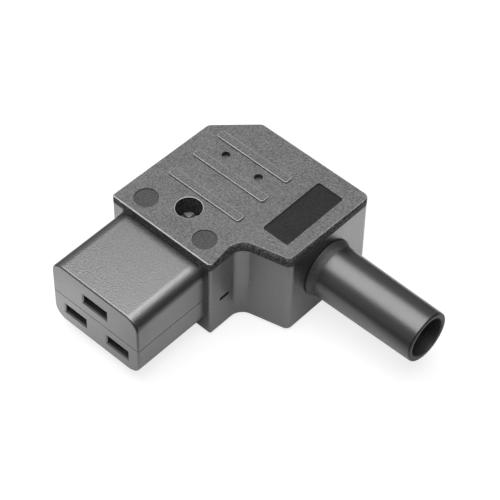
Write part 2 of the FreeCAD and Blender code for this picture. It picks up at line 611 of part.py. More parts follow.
NODES = {
    "base_shell": base_shell(),
    "cover": cover(),
    "insert_lower": insert_lower(),
    "insert_upper": insert_upper(),
    "line_contact": pin_contact(-1),
    "neutral_contact": pin_contact(1),
    "earth_contact": earth_contact(),
    "line_terminal": pin_terminal(-1),
    "neutral_terminal": pin_terminal(1),
    "earth_terminal": earth_terminal(),
    "line_terminal_screw": pin_terminal_screw(-1),
    "neutral_terminal_screw": pin_terminal_screw(1),
    "earth_terminal_screw": earth_terminal_screw(),
    "cover_screw": cover_screw(),
    "cover_nut": cover_nut(),
    "cable_boot": boot(),
    "clamp_bar": clamp_bar(),
    "clamp_screw_front": clamp_screw(CLAMP_SCREW_YS[0]),
    "clamp_screw_back": clamp_screw(CLAMP_SCREW_YS[1]),
}

os.makedirs("parts", exist_ok=True)
for name, shape in NODES.items():
    shape.exportStep(f"parts/{name}.step")
    print(name, len(shape.Solids), "solid", round(shape.Volume, 1), "mm3", shape.isValid())
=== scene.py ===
import json
from math import hypot, pi, radians, tan

import bmesh
import bpy
from mathutils import Euler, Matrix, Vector


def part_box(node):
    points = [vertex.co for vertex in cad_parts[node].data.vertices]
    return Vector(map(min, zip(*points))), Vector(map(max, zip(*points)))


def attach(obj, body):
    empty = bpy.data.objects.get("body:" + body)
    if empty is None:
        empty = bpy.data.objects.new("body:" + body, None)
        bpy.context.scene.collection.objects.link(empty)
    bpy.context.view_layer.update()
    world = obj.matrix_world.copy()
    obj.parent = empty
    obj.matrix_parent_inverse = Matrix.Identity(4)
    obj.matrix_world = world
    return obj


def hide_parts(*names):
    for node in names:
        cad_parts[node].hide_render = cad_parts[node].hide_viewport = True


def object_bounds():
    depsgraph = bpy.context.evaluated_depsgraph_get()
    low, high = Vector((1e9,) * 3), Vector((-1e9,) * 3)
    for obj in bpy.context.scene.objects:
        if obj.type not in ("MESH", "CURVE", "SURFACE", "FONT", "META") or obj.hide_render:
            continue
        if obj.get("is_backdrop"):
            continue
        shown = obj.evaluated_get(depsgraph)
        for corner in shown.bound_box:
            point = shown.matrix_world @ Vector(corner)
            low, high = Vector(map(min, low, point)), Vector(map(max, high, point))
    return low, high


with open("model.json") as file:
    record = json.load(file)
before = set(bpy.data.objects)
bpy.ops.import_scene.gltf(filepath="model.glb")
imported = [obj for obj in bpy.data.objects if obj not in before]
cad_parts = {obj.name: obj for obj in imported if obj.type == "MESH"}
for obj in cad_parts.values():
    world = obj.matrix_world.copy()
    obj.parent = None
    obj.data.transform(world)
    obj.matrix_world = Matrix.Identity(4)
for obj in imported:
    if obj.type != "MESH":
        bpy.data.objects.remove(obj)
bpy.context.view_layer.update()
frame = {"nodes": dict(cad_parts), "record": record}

MM = 0.001

# Working allowances, in millimetres
TOUCH = 0.002  # two measures this close are the same
CORNER_SLACK = 0.02  # an edge's end may be this far outside the side that it belongs to
OVERLAP = 0.5  # shapes run this far into what they join, or open from behind
HAIR = 0.01  # and a hair's breadth where they need to go no farther
PAST = 1  # cutting shapes run this far past the face that they open

# Shares of a face's normal along an axis. From FACING on, the face looks that way. A face is
# level where the share along Z is LEVEL or more, and a wall where it is under UPRIGHT
FACING = 0.9
LEVEL = 0.985
UPRIGHT = 0.3

# Flat sides that a round shape has
ROD_SIDES = 64
FINE_SIDES = 96
POST_SIDES = 48
HOLE_SIDES = 32

# Housing plan, in millimetres. A setback is measured from the housing's front wall
FRONT_HALF_WIDTH = 15.05
BACK_HALF_WIDTH = 14.45
STEP_SETBACK = 9.6
SLANT_LENGTH = 3.1
CHAMFER_X = 9.0
CHAMFER_Y = 8.8
FRONT_CORNER = 0.7
CORNER = 1.7
LEAST_CORNER = 0.3
STEP_FILLET = 3.2
OVERHANG = 0.05
WALL = 1.8
FLOOR = 2.0
BOTTOM_EDGE = 1.3
FIT = 0.1

# Cover
COVER_THICKNESS = 2.1
COVER_EDGE = 0.25
COVER_SIDE_EDGE = 0.9
SEAM_EDGE = 0.12
RIM_DEPTH = 1.5
RIM_THICKNESS = 1.1
GRIP_RIB = (21.4, 2.3)
GRIP_RIB_HEIGHT = 0.45
GRIP_RIB_EDGE = 0.15
GRIP_RIB_CORNER = 0.6
GRIP_RIB_X = 0.2
GRIP_RIB_SETBACK = 14.3
GRIP_RIB_PITCH = 7.9
GRIP_RIBS = 3
LABEL_PANEL = (7.3, 18.6)
LABEL_X = 19.5
LABEL_SETBACK = 25.1
LABEL_DEPTH = 0.3
LABEL_CORNER = 0.6
ROUND_PANEL_RADIUS = 2.85
ROUND_PANEL_DEPTH = 0.25
ROUND_PANEL_X = 8.9
ROUND_PANEL_SETBACK = 4.7
PEG_HOLE_RADIUS = 1.0
PEG_HOLE_DEPTH = 1.2
PEG_HOLE_X = 5.0
PEG_HOLE_SETBACK = 26.3
WELL_RADIUS = 3.1
WELL_WALL = 0.9
WELL_FLOOR = 1.2
WELL_LIP = 0.15
SCREW_HOLE_RADIUS = 1.55

# Inside the base
PILLAR_RADIUS = 3.5
NUT_RADIUS = 2.3
NUT_LENGTH = 5.0
SCREW_ROOM_RADIUS = 1.5
COVER_SCREW_LENGTH = 10.0
CLAMP_POST_RADIUS = 2.4
CLAMP_SCREW_LENGTH = 6.0
CLAMP_ARCH_RADIUS = 4.2
SADDLE_HALF_WIDTH = 4.4
SADDLE_DROP = 1.0
CATCH_SLOT = (2.8, 1.0)
CATCH_SLOT_SETBACK = 4.55
CATCH_SLOT_Z = -2.05

# Nose
NOSE_CORNER = 3.5
NOSE_EDGE = 0.5
NECK_STEP = 1.6
NECK_DROP = 0.8
NECK_CORNER = 2.0
PIN_PITCH = 13.0
PIN_ROW_Z = -4.555
EARTH_RISE = 8.3
PIN_SLOT = (6.5, 2.7)
EARTH_SLOT = (7.2, 2.8)
SLOT_LEAD = 0.3
SLOT_DEPTH = 2.6
POCKET_SIDE = 0.9
POCKET_HEIGHT = 5.0
PARTING_GAP = 0.18
EARTH_BAY_WIDTH = 14.0

# Boot
BOOT_SETBACK = 25.1
BOOT_LENGTH = 29.25
BOOT_ROOT_RADIUS = 6.6
BOOT_TIP_RADIUS = 6.3
BOOT_COLLAR_RADIUS = 7.3
BOOT_COLLAR_LENGTH = 0.8
BOOT_COLLAR_RIM = 0.4
BOOT_COLLAR_EDGE = 0.15
BOOT_SHOULDER = 1.6
BOOT_RIM_ROUND = 0.4
FLARE_STEPS = 10
BOOT_BORE_RADIUS = 4.3
BOOT_MOUTH_RADIUS = 4.9
BOOT_MOUTH_DEPTH = 2.5
BOOT_MOUTH_LEAD = 0.4
BOOT_NECK_RADIUS = 6.0
BOOT_FLANGE_RADIUS = 7.4
BOOT_FLANGE_LENGTH = 1.4
BOOT_FIT = 0.05
DULL_COLLAR_LENGTH = 2.3
DULL_MOUTH_MARGIN = 0.25

# Finishes: patches to the metre in the mouldings' mottle, and the depth in metres of a bump of 1
MOTTLE_PATCHES = 180
BUMP_DEPTH = 0.00006

# Camera and lamp: places and the lamp's size in metres, turns in degrees, the lens and sensor in
# millimetres, power in watts
CAMERA_PLACE = (0.20724, -0.18153, 0.34565)
CAMERA_TURN = (40.379, -0.782, 42.731)
CAMERA_LENS = 145.3
CAMERA_SENSOR = 36
CAMERA_NEAREST = 0.01
SOFTBOX_DIRECTION = (-0.06, -0.08, 1)
SOFTBOX_DISTANCE = 0.5
SOFTBOX_SIZE = (0.68, 0.66)
SOFTBOX_POWER = 4.4

# Floor: distances in metres, greys and strengths of light from 0 to 1. The bay is the corner
# between the nose and the boot
FLOOR_SIZE = 8
FLOOR_DROP = 0.00002
FLOOR_ROUGHNESS = 0.9
BAY = (0.024, 0.022, 0)
SEEN_GREY = 0.28
NEAR_GREY = 0.8
FAR_GREY = 0.04
FAR_FROM_BAY = (0.05, 0.1)
FAR_RIGHTWARDS = (0.012, 0.042)
OWN_LIGHT_REACH = (0.12, 0.5)
OWN_LIGHT = (0.78, 1.0)
BOUNCE_RIGHTWARDS = (-0.014, 0.02)
BOUNCE = (0.56, 0)
SHADED_BAY = (0.02, 0.042)
SHADED_BAY_SHARE = (0.15, 1)
BOUNCE_ENDS = (0.055, 0.095)

# Room: how light its left and its right side are, and where the one passes into the other
ROOM_LEFT_GREY = 0.32
ROOM_RIGHT_GREY = 0.02
ROOM_PASSAGE = (-0.4, 0.3)


def low_of(node):
    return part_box(node)[0] / MM


def high_of(node):
    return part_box(node)[1] / MM


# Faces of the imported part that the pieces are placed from
TOP_Z = high_of("cover").z - GRIP_RIB_HEIGHT
RIGHT_X = high_of("cover").x
BACK_Y = high_of("cover").y
COVER_FRONT_Y = low_of("cover").y
WELL_BOTTOM_Z = low_of("cover").z
BOTTOM_Z = low_of("base_shell").z
FLOOR_Z = BOTTOM_Z + FLOOR
COVER_BOTTOM_Z = TOP_Z - COVER_THICKNESS
NOSE_LENGTH = COVER_FRONT_Y + OVERHANG
NOSE_HALF_WIDTH = high_of("insert_upper").x
NOSE_TOP_Z = high_of("insert_upper").z
NOSE_BOTTOM_Z = low_of("insert_lower").z
PARTING_Z = low_of("insert_upper").z
INSERT_END_Y = high_of("insert_upper").y
INNER_FRONT_Y = NOSE_LENGTH + WALL
STEP_Y = NOSE_LENGTH + STEP_SETBACK
SLANT_END_Y = STEP_Y + SLANT_LENGTH
CATCH_SLOT_Y = NOSE_LENGTH + CATCH_SLOT_SETBACK
GRIP_RIB_Y = NOSE_LENGTH + GRIP_RIB_SETBACK
LABEL_Y = NOSE_LENGTH + LABEL_SETBACK
ROUND_PANEL_Y = NOSE_LENGTH + ROUND_PANEL_SETBACK
PEG_HOLE_Y = NOSE_LENGTH + PEG_HOLE_SETBACK
BOOT_Y = NOSE_LENGTH + BOOT_SETBACK
SCREW_Y = (low_of("cover_screw").y + high_of("cover_screw").y) / 2


# Modelling helpers

def only(piece):
    """Selects one piece and makes it the active one."""
    bpy.ops.object.select_all(action="DESELECT")
    piece.select_set(True)
    bpy.context.view_layer.objects.active = piece


def edit(piece, kind):
    """Opens a piece for editing faces, edges or vertices, with nothing selected."""
    only(piece)
    bpy.ops.object.mode_set(mode="EDIT")
    bpy.ops.mesh.select_mode(type=kind)
    bpy.ops.mesh.select_all(action="DESELECT")


def close():
    bpy.ops.object.mode_set(mode="OBJECT")


def select_faces(piece, wanted):
    """Selects the faces whose middle, in millimetres, and normal are wanted."""
    mesh = bmesh.from_edit_mesh(piece.data)
    mesh.normal_update()
    for face in mesh.faces:
        face.select_set(bool(wanted(face.calc_center_median() / MM, face.normal)))
    bmesh.update_edit_mesh(piece.data)


def select_edges(piece, wanted):
    """Selects the edges whose two ends, in millimetres, are wanted."""
    mesh = bmesh.from_edit_mesh(piece.data)
    for edge in mesh.edges:
        edge.select_set(bool(wanted(edge.verts[0].co / MM, edge.verts[1].co / MM)))
    bmesh.update_edit_mesh(piece.data)


def near(a, b):
    return abs(a - b) < TOUCH


def at_height(z):
    """Wants the edges that lie at one height."""
    return lambda a, b: near(a.z, z) and near(b.z, z)


def is_upright(a, b):
    """Whether one point stands over the other, as an upright edge's two ends do."""
    return near(a.x, b.x) and near(a.y, b.y)


def is_along_y(a, b):
    return near(a.x, b.x) and near(a.z, b.z)


def block(name, low, high):
    """A box between two corners, in millimetres."""
    low, high = Vector(low) * MM, Vector(high) * MM
    bpy.ops.object.select_all(action="DESELECT")
    bpy.ops.mesh.primitive_cube_add(size=1, location=(low + high) / 2)
    piece = bpy.context.object
    piece.name = name
    piece.scale = high - low
    bpy.ops.object.transform_apply(location=True, rotation=True, scale=True)
    return piece


def rod(name, radius, start, end, sides=ROD_SIDES):
    """A round bar between two points, in millimetres."""
    start, end = Vector(start) * MM, Vector(end) * MM
    axis = end - start
    bpy.ops.object.select_all(action="DESELECT")
    bpy.ops.mesh.primitive_cylinder_add(vertices=sides, radius=radius * MM, depth=axis.length,
                                        location=(start + end) / 2,
                                        rotation=axis.to_track_quat("Z", "Y").to_euler())
    piece = bpy.context.object
    piece.name = name
    bpy.ops.object.transform_apply(location=True, rotation=True, scale=True)
    return piece


def upright_rod(name, radius, x, y, low, high, sides=ROD_SIDES):
    """A round bar that stands at a point of the plan, between two heights."""
    return rod(name, radius, (x, y, low), (x, y, high), sides)


def copy_of(piece, shift=(0, 0, 0)):
    """A copy of a shape with a mesh of its own, moved by a shift in millimetres."""
    only(piece)
    bpy.ops.object.duplicate()
    copy = bpy.context.object
    copy.location = Vector(shift) * MM
    bpy.ops.object.transform_apply(location=True, rotation=True, scale=True)
    return copy


def combine(piece, other, operation):
    """Joins another shape to a piece or cuts it out, and uses that shape up."""
    modifier = piece.modifiers.new(operation.lower(), "BOOLEAN")
    modifier.operation = operation
    modifier.solver = "EXACT"
    modifier.object = other
    only(piece)
    bpy.ops.object.modifier_apply(modifier=modifier.name)
    bpy.data.objects.remove(other)


def join(piece, other):
    combine(piece, other, "UNION")


def cut(piece, other):
    combine(piece, other, "DIFFERENCE")


def round_edges(piece, wanted, reach, segments):
    """Rounds the wanted edges, each side of the rounding reaching that far from the edge."""
    edit(piece, "EDGE")
    select_edges(piece, wanted)
    bpy.ops.mesh.bevel(offset=reach * MM, offset_type="OFFSET", segments=segments, affect="EDGES",
                       profile=0.5, clamp_overlap=False)
    close()


def smooth(piece, angle=32):
    """Shades curves smoothly, and lets the big flat faces keep their flatness."""
    only(piece)
    bpy.ops.object.shade_smooth_by_angle(angle=radians(angle))
    modifier = piece.modifiers.new("flat faces", "WEIGHTED_NORMAL")
    modifier.keep_sharp = True
    modifier.weight = 100
    bpy.ops.object.modifier_apply(modifier=modifier.name)


def dress(piece, slot, *nodes):
    """Puts a finished piece in place of the solids it stands for."""
    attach(piece, "root")
    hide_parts(*nodes)


# Housing

def slant_shift(inset):
    """How far the slanted wall's two corners move back when the plan shrinks by an inset."""
    run, rise = RIGHT_X - FRONT_HALF_WIDTH, SLANT_END_Y - STEP_Y
    return inset * (hypot(run, rise) - rise) / run


def draw_back(piece, length):
    """Draws the open piece's back wall out by a number of millimetres."""
    bpy.ops.mesh.select_mode(type="FACE")
    select_faces(piece, lambda middle, normal: normal.y > FACING)
    bpy.ops.mesh.extrude_region_move(TRANSFORM_OT_translate={"value": (0, length * MM, 0)})


def housing_block(name, inset, low, high):
    """The housing's plan, shrunk by an inset, as a block with rounded upright corners."""
    front = COVER_FRONT_Y + inset
    half = FRONT_HALF_WIDTH - inset
    right = RIGHT_X - inset
    back = BACK_Y - inset
    step = STEP_Y + slant_shift(inset)
    slant_end = SLANT_END_Y + slant_shift(inset)
    piece = block(name, (-FRONT_HALF_WIDTH - PAST, front, low), (half, step, high))

    # the shoulder leans out to the right, and the back block follows it
    edit(piece, "FACE")
    draw_back(piece, slant_end - step)
    bpy.ops.mesh.select_mode(type="EDGE")
    select_edges(piece, lambda a, b: is_upright(a, b) and near(a.x, half) and near(a.y, slant_end))
    bpy.ops.transform.translate(value=((right - half) * MM, 0, 0))
    draw_back(piece, back - slant_end)

    # the left side tapers a little towards the back, and the back left corner is cut off
    corner = Vector((-BACK_HALF_WIDTH, BACK_Y - CHAMFER_Y, 0))
    taper = Vector((corner.y - COVER_FRONT_Y, BACK_HALF_WIDTH - FRONT_HALF_WIDTH, 0))
    chamfer = Vector((CHAMFER_Y, -CHAMFER_X, 0))
    for inwards in (taper.normalized(), chamfer.normalized()):
        bpy.ops.mesh.select_all(action="SELECT")
        bpy.ops.mesh.bisect(plane_co=(corner + inwards * inset) * MM, plane_no=inwards,
                            use_fill=True, clear_inner=True)
    bpy.ops.mesh.select_all(action="SELECT")
    bpy.ops.mesh.dissolve_limited(angle_limit=radians(0.5))
    close()

    # every upright corner is rounded, the one at the step the other way
    for corner, opening, radius in plan_corners(piece, inset, step):
        round_edges(piece, lambda a, b, at=corner: is_upright(a, b) and is_upright(a, at),
                    radius / tan(opening / 2), segments=8)
    return piece


def plan_corners(piece, inset, step):
    """A housing block's upright corners: where each one is, how far it opens and its radius."""
    top = max(piece.data.polygons, key=lambda face: face.center.z + face.area)
    points = [piece.data.vertices[i].co / MM for i in top.vertices]
    corners = []
    for i, point in enumerate(points):
        before = points[i - 1] - point
        after = points[(i + 1) % len(points)] - point
        if near(point.x, FRONT_HALF_WIDTH - inset) and near(point.y, step):
            radius = STEP_FILLET + inset
        elif point.y < (COVER_FRONT_Y + STEP_Y) / 2:
            radius = max(FRONT_CORNER - inset, LEAST_CORNER)
        else:
            radius = max(CORNER - inset, LEAST_CORNER)
        corners.append((point.copy(), before.angle(after), radius))
    return corners


def rounded_slab(name, x, y, width, length, low, high, corner):
    """A slab with rounded upright corners."""
    slab = block(name, (x - width / 2, y - length / 2, low), (x + width / 2, y + length / 2, high))
    round_edges(slab, is_upright, corner, segments=6)
    return slab


def is_on_cover_side(a, b):
    """Whether an edge is on the cover's right, from the front corner to the back one."""
    return all(p.x > FRONT_HALF_WIDTH - CORNER_SLACK and p.y < BACK_Y - CORNER + CORNER_SLACK
               for p in (a, b))


def is_well_rim(a, b):
    return at_height(TOP_Z)(a, b) and all(near(hypot(p.x, p.y - SCREW_Y), WELL_RADIUS)
                                          for p in (a, b))


def make_cover():
    """The cover's plate, with its ribs, rim, screw well and recesses."""
    plate = housing_block("cover_plate", 0, COVER_BOTTOM_Z, TOP_Z)
    at_top = at_height(TOP_Z)
    round_edges(plate, lambda a, b: at_top(a, b) and not is_on_cover_side(a, b), COVER_EDGE,
                segments=4)
    round_edges(plate, lambda a, b: at_top(a, b) and is_on_cover_side(a, b), COVER_SIDE_EDGE,
                segments=8)
    round_edges(plate, at_height(COVER_BOTTOM_Z), SEAM_EDGE, segments=2)

    rib_top = TOP_Z + GRIP_RIB_HEIGHT
    rib = rounded_slab("grip_rib", GRIP_RIB_X, GRIP_RIB_Y, *GRIP_RIB, TOP_Z - GRIP_RIB_HEIGHT,
                       rib_top, GRIP_RIB_CORNER)
    round_edges(rib, at_height(rib_top), GRIP_RIB_EDGE, segments=3)
    for i in range(GRIP_RIBS):
        join(plate, copy_of(rib, (0, i * GRIP_RIB_PITCH, 0)))
    bpy.data.objects.remove(rib)

    # under the plate: a rim that fits inside the walls, a tongue over the neck, the screw's well
    inset = OVERHANG + WALL + FIT
    rim_bottom = COVER_BOTTOM_Z - RIM_DEPTH
    rim = housing_block("cover_rim", inset, rim_bottom, COVER_BOTTOM_Z + OVERLAP)
    cut(rim, housing_block("rim_inside", inset + RIM_THICKNESS, rim_bottom - PAST, COVER_BOTTOM_Z))
    join(plate, rim)
    half = NOSE_HALF_WIDTH - NECK_STEP
    join(plate, block("tongue", (-half, NOSE_LENGTH, NOSE_TOP_Z - NECK_DROP),
                      (half, INNER_FRONT_Y + 2 * FIT, COVER_BOTTOM_Z + OVERLAP)))
    join(plate, upright_rod("well", WELL_RADIUS + WELL_WALL, 0, SCREW_Y, WELL_BOTTOM_Z,
                            COVER_BOTTOM_Z + OVERLAP))

    # what is sunk into the plate
    cut(plate, upright_rod("well_hole", WELL_RADIUS, 0, SCREW_Y, WELL_BOTTOM_Z + WELL_FLOOR,
                           TOP_Z + PAST, FINE_SIDES))
    round_edges(plate, is_well_rim, WELL_LIP, segments=3)
    cut(plate, upright_rod("screw_hole", SCREW_HOLE_RADIUS, 0, SCREW_Y, WELL_BOTTOM_Z - PAST,
                           TOP_Z))
    for side in (-1, 1):
        cut(plate, upright_rod("round_panel", ROUND_PANEL_RADIUS, side * ROUND_PANEL_X,
                               ROUND_PANEL_Y, TOP_Z - ROUND_PANEL_DEPTH, TOP_Z + PAST))
        cut(plate, upright_rod("peg_hole", PEG_HOLE_RADIUS, side * PEG_HOLE_X, PEG_HOLE_Y,
                               TOP_Z - PEG_HOLE_DEPTH, TOP_Z + PAST, HOLE_SIDES))
    cut(plate, rounded_slab("label_panel", LABEL_X, LABEL_Y, *LABEL_PANEL, TOP_Z - LABEL_DEPTH,
                            TOP_Z + PAST, LABEL_CORNER))
    smooth(plate)
    dress(plate, "cover_plastic", "cover")
    return plate


def make_base():
    """The deep half of the housing, with what stands in its wiring room."""
    base = housing_block("base_housing", OVERHANG, BOTTOM_Z, COVER_BOTTOM_Z)
    round_edges(base, at_height(BOTTOM_Z), BOTTOM_EDGE, segments=6)
    round_edges(base, at_height(COVER_BOTTOM_Z), SEAM_EDGE, segments=2)
    cut(base, housing_block("wiring_room", OVERHANG + WALL, FLOOR_Z, COVER_BOTTOM_Z + PAST))
    foot_z = FLOOR_Z - OVERLAP

    # the screw's pillar, and a rest under each pin terminal
    join(base, upright_rod("pillar", PILLAR_RADIUS, 0, SCREW_Y, foot_z, WELL_BOTTOM_Z))
    cut(base, upright_rod("nut_pocket", NUT_RADIUS, 0, SCREW_Y, WELL_BOTTOM_Z - NUT_LENGTH,
                          WELL_BOTTOM_Z + PAST))
    cut(base, upright_rod("screw_tip_room", SCREW_ROOM_RADIUS, 0, SCREW_Y,
                          WELL_BOTTOM_Z - COVER_SCREW_LENGTH, WELL_BOTTOM_Z, HOLE_SIDES))
    for terminal in ("line_terminal", "neutral_terminal"):
        low, high = low_of(terminal), high_of(terminal)
        join(base, block("terminal_rest", (low.x, low.y, foot_z), (high.x, high.y, low.z)))

    # the cable clamp's two posts and its saddle
    low, high = low_of("clamp_bar"), high_of("clamp_bar")
    for screw in ("clamp_screw_front", "clamp_screw_back"):
        middle = (low_of(screw) + high_of(screw)) / 2
        join(base, upright_rod("clamp_post", CLAMP_POST_RADIUS, middle.x, middle.y, foot_z, 0,
                               POST_SIDES))
        cut(base, upright_rod("post_hole", SCREW_ROOM_RADIUS, middle.x, middle.y,
                              -CLAMP_SCREW_LENGTH, PAST, HOLE_SIDES))
    saddle = block("saddle", (low.x, BOOT_Y - SADDLE_HALF_WIDTH, foot_z),
                   (high.x, BOOT_Y + SADDLE_HALF_WIDTH, -SADDLE_DROP))
    cut(saddle, rod("cable_way", CLAMP_ARCH_RADIUS, (low.x - PAST, BOOT_Y, 0),
                    (high.x + PAST, BOOT_Y, 0)))
    join(base, saddle)

    # ways through the walls: the insert's neck, the boot and the insert's catches
    half = NOSE_HALF_WIDTH - NECK_STEP + FIT
    cut(base, block("neck_way", (-half, NOSE_LENGTH - PAST, NOSE_BOTTOM_Z + NECK_DROP - FIT),
                    (half, INNER_FRONT_Y + FIT, COVER_BOTTOM_Z + PAST)))
    cut(base, rod("boot_way", BOOT_NECK_RADIUS + BOOT_FIT,
                  (RIGHT_X - OVERHANG - WALL - PAST, BOOT_Y, 0), (RIGHT_X + PAST, BOOT_Y, 0)))
    length, height = CATCH_SLOT
    for side in (-1, 1):
        inner = side * (FRONT_HALF_WIDTH - OVERHANG - WALL - OVERLAP)
        outer = side * (FRONT_HALF_WIDTH + PAST)
        cut(base, block("catch_slot", (min(inner, outer), CATCH_SLOT_Y - length / 2,
                                       CATCH_SLOT_Z - height / 2),
                        (max(inner, outer), CATCH_SLOT_Y + length / 2,
                         CATCH_SLOT_Z + height / 2)))
    smooth(base)
    dress(base, "base_plastic", "base_shell")
    return base


# Nose

def slot_tool(x, z, size):
    """A contact slot's shape: a lead-in at the mating face, the slot, and its pocket behind."""
    width, height = size
    tool = block("slot_tool", (x - width / 2, SLOT_LEAD, z - height / 2),
                 (x + width / 2, SLOT_DEPTH + HAIR, z + height / 2))
    edit(tool, "FACE")
    select_faces(tool, lambda middle, normal: normal.y < -FACING)
    bpy.ops.mesh.extrude_region_move(TRANSFORM_OT_translate={"value": (0, -SLOT_LEAD * MM, 0)})
    bpy.ops.transform.resize(value=(1 + 2 * SLOT_LEAD / width, 1, 1 + 2 * SLOT_LEAD / height))
    bpy.ops.mesh.extrude_region_move(TRANSFORM_OT_translate={"value": (0, -PAST * MM, 0)})
    close()
    half = width / 2 + POCKET_SIDE
    join(tool, block("pocket", (x - half, SLOT_DEPTH, z - POCKET_HEIGHT / 2),
                     (x + half, INSERT_END_Y + PAST, z + POCKET_HEIGHT / 2)))
    return tool


def make_nose():
    """The nose insert's two halves, parted under the earth slot."""
    nose = block("nose", (-NOSE_HALF_WIDTH, 0, NOSE_BOTTOM_Z),
                 (NOSE_HALF_WIDTH, NOSE_LENGTH, NOSE_TOP_Z))
    round_edges(nose, is_along_y, NOSE_CORNER, segments=12)
    round_edges(nose, lambda a, b: near(a.y, 0) and near(b.y, 0), NOSE_EDGE, segments=4)
    half = NOSE_HALF_WIDTH - NECK_STEP
    neck_bottom, neck_top = NOSE_BOTTOM_Z + NECK_DROP, NOSE_TOP_Z - NECK_DROP
    neck = block("neck", (-half, NOSE_LENGTH - OVERLAP, neck_bottom),
                 (half, INSERT_END_Y, neck_top))
    round_edges(neck, is_along_y, NECK_CORNER, segments=6)
    join(nose, neck)
    wide = FRONT_HALF_WIDTH - OVERHANG - WALL - 2 * FIT
    join(nose, block("flange", (-wide, INNER_FRONT_Y + FIT / 2, neck_bottom),
                     (wide, INSERT_END_Y, neck_top)))
    cut(nose, slot_tool(0, PIN_ROW_Z + EARTH_RISE, EARTH_SLOT))
    left_tool = slot_tool(-PIN_PITCH / 2, PIN_ROW_Z, PIN_SLOT)
    right_tool = copy_of(left_tool, (PIN_PITCH, 0, 0))
    cut(nose, left_tool)
    cut(nose, right_tool)

    # the earth terminal is reached from above, and its wire from either side
    low, high = low_of("earth_terminal"), high_of("earth_terminal")
    bay_end = INSERT_END_Y + PAST
    cut(nose, block("block_bay", (low.x - FIT, low.y - FIT, low.z),
                    (high.x + FIT, bay_end, TOP_Z)))
    cut(nose, block("wire_bay", (-EARTH_BAY_WIDTH / 2, INNER_FRONT_Y, low.z),
                    (EARTH_BAY_WIDTH / 2, bay_end, TOP_Z)))

    lower = copy_of(nose)
    for piece, name, node, upwards in ((nose, "nose_upper", "insert_upper", 1),
                                       (lower, "nose_lower", "insert_lower", -1)):
        piece.name = name
        edit(piece, "FACE")
        bpy.ops.mesh.select_all(action="SELECT")
        bpy.ops.mesh.bisect(plane_co=(0, 0, (PARTING_Z + upwards * PARTING_GAP / 2) * MM),
                            plane_no=(0, 0, upwards), use_fill=True, clear_inner=True)
        close()
        smooth(piece)
        dress(piece, "insert_plastic", node)
    return nose, lower


# Boot

def make_boot():
    """A soft sleeve turned from rings along its axis."""
    wall_out = RIGHT_X - OVERHANG + BOOT_FIT
    wall_in = RIGHT_X - OVERHANG - WALL - BOOT_FIT
    inner_end = wall_in - BOOT_FLANGE_LENGTH
    tip = RIGHT_X - OVERHANG + BOOT_LENGTH
    mouth_end = tip - BOOT_MOUTH_DEPTH
    flare_start = wall_out + BOOT_COLLAR_RIM
    flare_end = wall_out + BOOT_COLLAR_LENGTH + BOOT_SHOULDER

    # the collar sweeps in to the sleeve in a hollow curve
    flare = []
    for i in range(FLARE_STEPS + 1):
        share = i / FLARE_STEPS
        flare.append((flare_start + share * (flare_end - flare_start), BOOT_ROOT_RADIUS
                      + (BOOT_COLLAR_RADIUS - BOOT_ROOT_RADIUS) * (1 - share) ** 2))

    # each ring's place along the axis and its radius, from the bore's inner end round and back
    rings = [(inner_end, BOOT_BORE_RADIUS), (inner_end, BOOT_FLANGE_RADIUS),
             (wall_in, BOOT_FLANGE_RADIUS), (wall_in, BOOT_NECK_RADIUS),
             (wall_out, BOOT_NECK_RADIUS), (wall_out, BOOT_COLLAR_RADIUS), *flare,
             (tip, BOOT_TIP_RADIUS), (tip, BOOT_MOUTH_RADIUS), (mouth_end, BOOT_MOUTH_RADIUS),
             (mouth_end, BOOT_BORE_RADIUS), (inner_end, BOOT_BORE_RADIUS)]
    bpy.ops.object.select_all(action="DESELECT")
    x, radius = rings[0]
    bpy.ops.mesh.primitive_circle_add(vertices=FINE_SIDES, radius=radius * MM,
                                      location=(x * MM, BOOT_Y * MM, 0), rotation=(0, pi / 2, 0))
    boot = bpy.context.object
    boot.name = "boot_sleeve"
    bpy.ops.object.transform_apply(location=True, rotation=True, scale=True)
    edit(boot, "EDGE")
    bpy.ops.mesh.select_all(action="SELECT")
    for next_x, next_radius in rings[1:]:
        move = {"value": ((next_x - x) * MM, 0, 0)}
        bpy.ops.mesh.extrude_region_move(TRANSFORM_OT_translate=move)
        grow = next_radius / radius
        bpy.ops.transform.resize(value=(1, grow, grow),
                                 center_override=(next_x * MM, BOOT_Y * MM, 0))
        x, radius = next_x, next_radius
    bpy.ops.mesh.select_all(action="SELECT")
    bpy.ops.mesh.remove_doubles(threshold=0.001 * MM)
    bpy.ops.mesh.normals_make_consistent(inside=False)
    close()

    def ring_at(at_x, at_radius):
        """Wants the edges of one ring."""
        return lambda a, b: all(near(p.x, at_x) and near(hypot(p.y - BOOT_Y, p.z), at_radius)
                                for p in (a, b))

    round_edges(boot, ring_at(tip, BOOT_TIP_RADIUS), BOOT_RIM_ROUND, segments=6)
    round_edges(boot, ring_at(tip, BOOT_MOUTH_RADIUS), BOOT_MOUTH_LEAD, segments=3)
    for x in (wall_out, flare_start):
        round_edges(boot, ring_at(x, BOOT_COLLAR_RADIUS), BOOT_COLLAR_EDGE, segments=3)
    smooth(boot, angle=40)
    dress(boot, "boot_rubber", "cable_boot")
    return boot


# Materials

def new_material(name):
    material = bpy.data.materials.new(name)
    material.use_nodes = True
    return material, material.node_tree.nodes, material.node_tree.links


def new_group(name, inputs, outputs):
    """An empty node group with named number sockets, and its entry and exit nodes."""
    group = bpy.data.node_groups.new(name, "ShaderNodeTree")
    for socket in inputs:
        group.interface.new_socket(socket, in_out="INPUT", socket_type="NodeSocketFloat")
    for socket in outputs:
        group.interface.new_socket(socket, in_out="OUTPUT", socket_type="NodeSocketFloat")
    return group, group.nodes.new("NodeGroupInput"), group.nodes.new("NodeGroupOutput")


